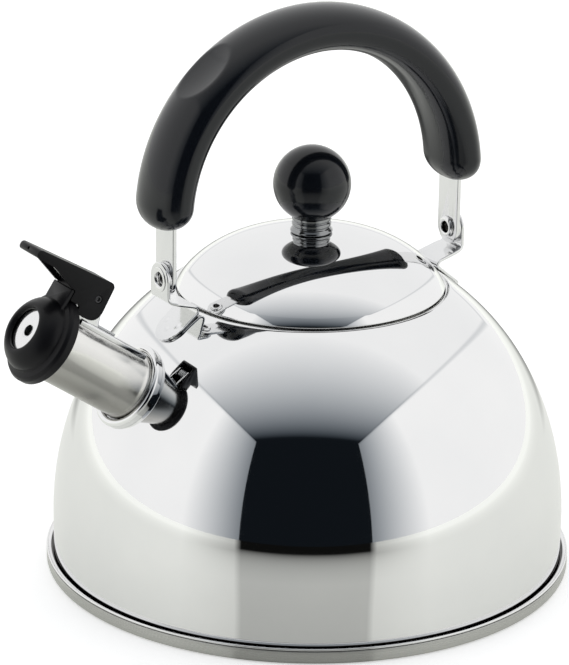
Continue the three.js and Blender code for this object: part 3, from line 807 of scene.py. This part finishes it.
def bracket_geometry():
    """The bracket at +X, as rows across the sheet. The outer layers are inset, which rounds its edges."""
    ribbon = Ribbon(bracket_path())
    rows = 150
    columns = 56
    edge = 0.3
    foot_length = 11.5
    heights = []
    for degrees in (90, 45, 0):
        angle = math.radians(degrees)
        heights.append((edge * (1 - math.cos(angle)), BRACKET_SHEET / 2 - edge + edge * math.sin(angle)))
    layers = heights + [(inset, -height) for inset, height in reversed(heights)]

    def point(row, across, inset, height):
        span = ribbon.length - 2 * inset
        distance = inset + span * (1 - math.cos(math.pi * row / rows)) / 2
        centre, run = ribbon.at(distance)
        side = across * half_width(ribbon, distance, inset)
        x = centre.x - run.y * height
        z = centre.y + run.x * height
        if distance < foot_length and height < 0:
            z -= weld_depth(x, side)
        # The foot is bent round the dome, and the bend fades out at the fold.
        hug = min(max((foot_length + 2 - distance) / 4, 0), 1)
        x -= hug * side ** 2 / (2 * x)
        return (x, side, z)

    sections = []
    for row in range(rows + 1):
        top = [(-1 + 2 * i / columns, *layers[0]) for i in range(columns + 1)]
        rim = [(1, *layer) for layer in layers[1:-1]]
        bottom = [(1 - 2 * i / columns, *layers[-1]) for i in range(columns + 1)]
        far = [(-1, *layer) for layer in reversed(layers[1:-1])]
        sections.append([point(row, *place) for place in top + rim + bottom + far])
    return tube_of_rings(sections, closed=False)


def facing(side):
    """Turns a piece drawn at +X to the given end of the handle."""
    return WORLD if side > 0 else Matrix.Rotation(math.pi, 4, "Z")


def show_at_end(node, geometry, side, body, material):
    """A piece drawn at +X, turned into its place in the mesh itself."""
    vertices, faces = geometry
    place = facing(side)
    obj = raw_object("fine_" + node, ([place @ Vector(v) for v in vertices], faces))
    return show(smooth(obj), body, material, node)


def along_x(geometry, start):
    """Turns geometry drawn about +Z so that it runs along +X through the pivot."""
    turn = Matrix.Rotation(math.pi / 2, 4, "Y")
    vertices, faces = geometry
    return [turn @ Vector(v) + Vector((start, 0, PIVOT_Z)) for v in vertices], faces


def make_bracket(end, side):
    """The bracket, with its hole for the rivet."""
    obj = raw_object("fine_" + end + "_handle_bracket", bracket_geometry(), facing(side))
    combine(obj, rod(RIVET_HOLE, 20, (1, 0, 0), (TAB_X, 0, PIVOT_Z)))
    bake_place(obj)
    show(smooth(obj), "kettle_body", bright_steel, end + "_handle_bracket")


def make_rivet(end, side):
    """A tubular rivet, with a formed head inside the strip and a rolled end outside the bracket."""
    inner_x = STRIP_X - STRIP_THICKNESS / 2
    reach = TAB_X + BRACKET_SHEET / 2 - inner_x + 0.05
    head = -0.1
    recess = [(0, head + 0.9), (1.5, head + 0.8), (2.0, head + 0.3), (2.1, head - 0.9)]
    inner_end = recess + [(2.7, head - 1.2), (3.4, head - 1.1), (4, head - 0.5), (4, head)]
    rolled_end = [(4.4, reach), (4.3, reach + 0.2), (3.4, reach + 0.3), (2.7, reach + 0.1)]
    hollow = [(2.4, reach - 0.5), (2.3, reach - 1.5), (1.6, reach - 1.9), (0, reach - 2)]
    profile = inner_end + [(RIVET_RADIUS, head), (RIVET_RADIUS, reach)] + rolled_end + hollow
    geometry = along_x(turned(soften(profile, 0.3), 72), inner_x)
    # The rivet's colour is painted dark within RIVET_HOLLOW of the pivot's axis, as painted shade in its
    # hollow ends.
    show_at_end(end + "_pivot_rivet", geometry, side, "kettle_body", rivet_painted_shade_steel)


def make_pivot_washer(end, side):
    """The washer between the strip and the bracket."""
    bottom = STRIP_X + STRIP_THICKNESS / 2 + 0.1
    top = TAB_X - BRACKET_SHEET / 2 - 0.1
    profile = [(RIVET_HOLE, bottom), (5.6, bottom), (5.6, top), (RIVET_HOLE, top)]
    geometry = along_x(turned(soften(profile, 0.15), 72), 0)
    show_at_end(end + "_pivot_washer", geometry, side, "kettle_body", bright_steel)


def make_strip(end, side):
    """The flat strip that turns on the rivet and reaches up into the grip."""
    radius = STRIP_WIDTH / 2
    outline = arc((0, PIVOT_Z), radius, 180, 360, 48)
    outline += [Vector((radius, STRIP_TOP_Z)), Vector((-radius, STRIP_TOP_Z))]
    vertices, faces = plate(outline, STRIP_THICKNESS, YZ)
    moved = [Vector(v) + Vector((STRIP_X, 0, 0)) for v in vertices]
    obj = raw_object("fine_" + end + "_handle_strip", (moved, faces), facing(side))
    combine(obj, rod(RIVET_HOLE, 20, (1, 0, 0), (STRIP_X, 0, PIVOT_Z)))
    bevel(obj, 0.25)
    bake_place(obj)
    show(smooth(obj), "handle", bright_steel, end + "_handle_strip")


def grip_section(angle):
    """A point of the grip's section in (out, across): elliptical outside, flatter and squarer inside."""
    out = math.cos(angle)
    across = math.sin(angle)
    power = 1.0 if out > 0 else 0.8
    return (
        math.copysign(abs(out) ** power, out) * GRIP_DEPTH / 2,
        math.copysign(abs(across) ** power, across) * GRIP_WIDTH / 2,
    )


def grip_stations():
    """Steps along the grip, as (angle on the arch, drop below the arch, size of the section)."""
    along = 360
    end_steps = 20
    end_length = 9.5
    roundness = 2.1
    near_end = []
    for i in range(end_steps):
        share = (i + 0.35) / end_steps
        walked = end_length * share ** 2 - GRIP_END_DROP
        scale = (1 - (1 - share ** 2) ** roundness) ** (1 / roundness)
        near_end.append((max(walked, 0) / GRIP_ARCH_RADIUS, max(-walked, 0), scale))
    first = (end_length - GRIP_END_DROP) / GRIP_ARCH_RADIUS
    arch = [first + (math.pi - 2 * first) * i / along for i in range(along + 1)]
    far_end = [(math.pi - angle, drop, scale) for angle, drop, scale in reversed(near_end)]
    return near_end + [(angle, 0, 1) for angle in arch] + far_end


def make_grip():
    """The arched grip, with domed ends and a shallow dish for the thumb."""
    around = 96
    dish_radius = 60
    dish_depth = 2.4
    dish_angle = math.radians(131.5)
    dish_reach = GRIP_ARCH_RADIUS + GRIP_DEPTH / 2 + dish_radius - dish_depth
    dish = Vector((dish_reach * math.cos(dish_angle), 0, GRIP_ARCH_Z + dish_reach * math.sin(dish_angle)))
    rings = []
    for arch_angle, drop, scale in grip_stations():
        outward = Vector((math.cos(arch_angle), 0, math.sin(arch_angle)))
        centre = Vector((0, 0, GRIP_ARCH_Z - drop)) + outward * GRIP_ARCH_RADIUS
        ring = []
        for j in range(around):
            out, across = grip_section(2 * math.pi * j / around)
            point = centre + outward * out * scale + Vector((0, across * scale, 0))
            sunk = dish_radius - (point - dish).length
            ring.append(point - outward * max(sunk, 0))
        rings.append(ring)
    grip = raw_object("fine_handle_grip", tube_of_rings(rings, closed=False))
    slot_x = STRIP_THICKNESS / 2 + 0.2
    slot_y = STRIP_WIDTH / 2 + 0.2
    for side in (-1, 1):
        low = (side * STRIP_X - slot_x, -slot_y, PIVOT_Z)
        high = (side * STRIP_X + slot_x, slot_y, STRIP_TOP_Z + GAP)
        combine(grip, box(low, high))
    show(smooth(grip, 60), "handle", black_phenolic, "handle_grip")


# Lid

def lid_height(radius):
    """The height of the lid's outside, which is flat at the middle and steep at the rim."""
    return LID_SEAT_Z + LID_RISE * (1 - (radius / LID_RADIUS) ** 2.6) ** (1 / 1.3)


def make_lid():
    """The domed lid, with a narrow rolled edge."""
    knee = LID_RADIUS - 1.8
    outside = []
    for i in range(49):
        radius = LID_HOLE + (knee - LID_HOLE) * math.sin(math.pi / 2 * i / 48)
        outside.append(Vector((radius, lid_height(radius))))
    rim = arc((LID_RADIUS - 0.5, LID_SEAT_Z + 0.5), 0.5, 35, -90, 8)
    inside = left_of(outside, -LID_SHEET)
    inside[-1] = Vector((knee + 0.2, LID_SEAT_Z + 1.6))
    profile = outside + rim + [Vector((knee + 0.2, LID_SEAT_Z))] + inside[::-1]
    shell = raw_object("fine_lid_shell", turned(profile, 176))
    show(smooth(shell, 30), "lid", mirror_steel, "lid_shell")


def make_skirt():
    """The ring under the lid that centres it in the mouth."""
    outer = 45.9
    bottom = LID_SEAT_Z - 9
    top = lid_height(outer) - LID_SHEET - 1
    inner = outer - 0.8
    skirt = [(inner - 0.8, bottom), (inner, bottom), (outer, bottom + 1.2), (outer, top), (inner, top)]
    show_turned("lid_skirt", skirt + [(inner, bottom + 1.2)], "lid", satin_steel)


def make_knob():
    """The ball knob on its stem, with the insert, screw and washer that hold it to the lid."""
    lid_top = lid_height(0)
    seat = lid_top + 0.1
    flat_drop = math.sqrt(KNOB_RADIUS ** 2 - KNOB_FLAT ** 2)
    stem_top = KNOB_Z - flat_drop - 0.1
    stem = [(LID_HOLE, seat), (7.4, seat), (7.6, seat + 0.7), (7, seat + 1.5)]
    for groove in (0.36, 0.72):
        middle = seat + (stem_top - seat) * groove
        stem += [(7, middle - 0.5), (6.4, middle), (7, middle + 0.5)]
    stem += [(7, stem_top), (LID_HOLE, stem_top)]
    # The stem gets the darker steel, as painted shade under the ball.
    show_turned("knob_stem", stem, "lid", stem_painted_shade_steel, edge=0.3, sides=96)
    start = -math.degrees(math.acos(KNOB_FLAT / KNOB_RADIUS))
    ball = arc((0, KNOB_Z), KNOB_RADIUS, start, 90, 48)
    ball[-1].x = 0
    hole = [(0, KNOB_Z + 2), (3.8, KNOB_Z + 2), (3.8, ball[0].y)]
    show_turned("knob_ball", hole + ball, "lid", black_phenolic, sides=128)
    insert_bottom = KNOB_Z - flat_drop + GAP
    insert_top = KNOB_Z + 1.5
    insert = [(2.4, insert_bottom), (3.5, insert_bottom), (3.5, insert_top), (2.4, insert_top)]
    show_turned("knob_insert", insert, "lid", insert_brass, sides=48)
    washer_top = lid_top - LID_SHEET - 0.1
    washer_bottom = washer_top - 0.8
    washer = [(LID_HOLE, washer_bottom), (7.5, washer_bottom), (7.5, washer_top), (LID_HOLE, washer_top)]
    show_turned("knob_washer", washer, "lid", bright_steel, sides=72)
    under = washer_top - 0.9
    screw_top = KNOB_Z - 0.5
    head = [(0, under - 1.4), (1.2, under - 2.4), (3.2, under - 2.2), (4.3, under - 0.9), (4.3, under)]
    shank = [(2.1, under), (2.1, screw_top - 0.8), (1.4, screw_top), (0, screw_top)]
    show_turned("knob_screw", head + shank, "lid", bright_steel, sides=48)


make_dome()
make_base()
make_spout()
make_saddle()
make_pin()
make_spring()
make_cap()
make_whistle_parts()
make_lever()
for end_name, end_side in (("front", -1), ("rear", 1)):
    make_bracket(end_name, end_side)
    make_rivet(end_name, end_side)
    make_pivot_washer(end_name, end_side)
    make_strip(end_name, end_side)
make_grip()
make_lid()
make_skirt()
make_knob()


# Studio: a pale floor, soft white light from all round, and a dark opening behind the camera

CAMERA_AZIMUTH = -33.0  # degrees from -Y towards +X
TO_CAMERA = (math.sin(math.radians(CAMERA_AZIMUTH)), -math.cos(math.radians(CAMERA_AZIMUTH)), 0)
TO_THE_RIGHT = (-TO_CAMERA[1], TO_CAMERA[0], 0)
OPENING_HALF_WIDTH = 29.0  # degrees
CEILING_EDGE = 41.5  # degrees up to where the ceiling meets the opening
WALL_FLARE = 0.4  # how far each wall runs outwards for each length that it runs back
BACK_WALL = 12.5  # how far behind the kettle the tent ends, in distances from the kettle to the opening


def degrees_from_camera(graph, vector):
    """How far a vector's azimuth is from the middle of the opening, to either side."""
    x, y, _ = graph.parts(vector)
    azimuth = graph.times(graph.math("ARCTAN2", x, graph.times(y, -1.0)), 180 / math.pi)
    return graph.math("ABSOLUTE", graph.math("SUBTRACT", azimuth, CAMERA_AZIMUTH))


def tent_tone(graph, where):
    """The tone of a white box tent that is open behind the camera."""
    # The walls are white, but dimmer beside the opening.
    aside = degrees_from_camera(graph, where)
    in_opening = graph.math("LESS_THAN", aside, OPENING_HALF_WIDTH)
    walls = graph.spread(aside, OPENING_HALF_WIDTH, 56, 0.25, 1.0)
    walls = graph.times(walls, graph.math("SUBTRACT", 1.0, in_opening))

    # The ceiling is bright overhead and fades towards the opening.
    ahead = graph.along(where, TO_CAMERA)
    up = graph.along(where, (0, 0, 1))
    ceiling = graph.spread(graph.math("DIVIDE", ahead, up), 0.0, 1.09, 0.96, 0.01)

    # The wall that a direction meets first sets how high it has to point to meet the ceiling.
    across = graph.math("ABSOLUTE", graph.along(where, TO_THE_RIGHT))
    flared = graph.math("ADD", across, graph.times(ahead, WALL_FLARE))
    half_opening = math.tan(math.radians(OPENING_HALF_WIDTH))
    side_reach = graph.math("DIVIDE", flared, half_opening + WALL_FLARE)
    back_reach = graph.times(ahead, -1 / BACK_WALL)
    reach = graph.math("MAXIMUM", graph.math("MAXIMUM", side_reach, back_reach), ahead)
    seam_height = graph.times(reach, math.tan(math.radians(CEILING_EDGE)))
    over_seam = graph.math("SUBTRACT", up, seam_height)
    is_ceiling = graph.math("GREATER_THAN", over_seam, 0.0)
    tent = graph.add("ShaderNodeMix", {0: is_ceiling, 2: walls, 3: ceiling}, data_type="FLOAT")

    # The seam between them is a thin darker line.
    seam = graph.spread(graph.math("ABSOLUTE", over_seam), 0.004, 0.02, 0.78, 1.0)
    return graph.math("MAXIMUM", graph.times(tent, seam), 0.008)


def light_all_round():
    """Light from the tent. The camera sees plain white, and dim tones are slightly blue."""
    world = bpy.data.worlds.new("tent")
    bpy.context.scene.world = world
    world.use_nodes = True
    world.node_tree.nodes.clear()
    graph = Graph(world.node_tree)
    where = graph.add("ShaderNodeTexCoord", {}, output=0)
    seen = graph.add("ShaderNodeLightPath", {}, output=0)
    tone = graph.math("MAXIMUM", tent_tone(graph, where), seen)
    cool = {i: graph.math("POWER", tone, power) for i, power in enumerate((1.08, 1.02, 0.96))}
    colour = graph.add("ShaderNodeCombineColor", cool)
    shade = graph.add("ShaderNodeBackground", {"Color": colour, "Strength": 1.0})
    output = world.node_tree.nodes.new("ShaderNodeOutputWorld")
    world.node_tree.links.new(shade, output.inputs["Surface"])


def plane(name, z, size):
    """A level square, centred on the origin."""
    corners = [(-size, -size, z), (size, -size, z), (size, size, z), (-size, size, z)]
    return raw_object(name, (corners, [(0, 1, 2, 3)]))


def table_tone_and_painted_shade(graph):
    """The table top's tone, with painted shade and shadow, by distances in metres from the kettle's middle.
    """
    apex_distance = 0.05  # from the kettle's middle towards the camera, where the dark strip starts
    back_to_apex = [-apex_distance * part for part in TO_CAMERA]
    from_apex = graph.add("ShaderNodeVectorMath", {0: graph.place(), 1: back_to_apex}, operation="ADD")
    aside = degrees_from_camera(graph, from_apex)

    # Painted shade: the table is darker close to the kettle, where the kettle shades it.
    distance = graph.length(graph.place())
    near = graph.spread(distance, 0.12, 0.5, 0.44, 0.72)
    far = graph.spread(distance, 0.5, 1.6, 0.72, 0.9)
    open_tone = graph.math("MAXIMUM", near, far)

    # Painted shadow: a dark band behind the kettle, as its shadow on the table.
    behind = graph.along(graph.place(), (0.5, 0.87, 0))
    across = graph.math("ABSOLUTE", graph.along(graph.place(), (0.87, -0.5, 0)))
    shade = graph.math("MINIMUM", graph.spread(behind, 0.2, 0.26), graph.spread(behind, 0.3, 1.0, 1.0, 0.0))
    shade = graph.times(shade, graph.spread(across, 0.1, 0.28, 0.85, 0.0))
    open_tone = graph.times(open_tone, graph.math("SUBTRACT", 1.0, shade))

    # Painted shade from the dark opening: the table is dimmer in its corners beside the opening, and dark in
    # the strip before it.
    corner_painted_shade = graph.spread(distance, 0.2, 0.6, 0.85, 0.45)
    corner = graph.spread(aside, OPENING_HALF_WIDTH, 55, corner_painted_shade, 1.0)
    side_tone = graph.times(open_tone, corner)
    front_painted_shade = graph.spread(distance, 0.2, 0.8, 0.43, 0.004)
    beside = graph.spread(aside, OPENING_HALF_WIDTH - 1, OPENING_HALF_WIDTH + 2)
    return graph.add("ShaderNodeMix", {0: beside, 2: front_painted_shade, 3: side_tone}, data_type="FLOAT")


def lay_floor():
    """The floor, and a greyer table top just over it that only shows in reflections. The table glows with
    its tone, painted shade and shadow included.
    """
    glow = 0.42
    floor = plane("floor", -0.05, 9000)
    white, shader, _ = new_material("floor_white", Roughness=0.9, Emission_Strength=glow)
    shader.inputs["Base Color"].default_value = (0.93, 0.93, 0.93, 1)
    shader.inputs["Emission Color"].default_value = (1, 1, 1, 1)
    floor.data.materials.append(white)
    table = plane("table_top", -0.02, 9000)
    dull = {"Roughness": 1.0, "Specular_IOR_Level": 0.0, "Emission_Strength": glow}
    grey, shader, graph = new_material("table_grey", **dull)
    tone = table_tone_and_painted_shade(graph)
    warm = {0: tone, 1: graph.times(tone, 1.01), 2: graph.times(tone, 0.96)}
    colour = graph.add("ShaderNodeCombineColor", warm)
    drive(graph, shader, "Base Color", colour)
    drive(graph, shader, "Emission Color", colour)
    table.data.materials.append(grey)
    table.visible_camera = False
    table.visible_diffuse = False
    table.visible_shadow = False


def set_camera():
    """A long lens, 1.2 m away, looking down on the kettle from the spout's side of its front."""
    camera = bpy.data.objects.new("camera", bpy.data.cameras.new("camera"))
    bpy.context.scene.collection.objects.link(camera)
    camera.data.sensor_width = 36
    camera.data.lens = 175.3
    camera.data.clip_end = 50
    place = Vector((-586.8, -920.0, 475.2))
    yaw, pitch, roll = (math.radians(a) for a in (-32.0538, 19.6419, 0.6974))
    ahead = Vector((-math.sin(yaw) * math.cos(pitch), math.cos(yaw) * math.cos(pitch), -math.sin(pitch)))
    level = Vector((math.cos(yaw), math.sin(yaw), 0))
    up = level.cross(ahead)
    right = level * math.cos(roll) + up * math.sin(roll)
    up = up * math.cos(roll) - level * math.sin(roll)
    turn = Matrix((right, up, -ahead)).transposed().to_4x4()
    camera.matrix_world = Matrix.Translation(place * MM) @ turn
    bpy.context.scene.camera = camera


light_all_round()
lay_floor()
set_camera()
bpy.context.scene.view_settings.view_transform = "Standard"
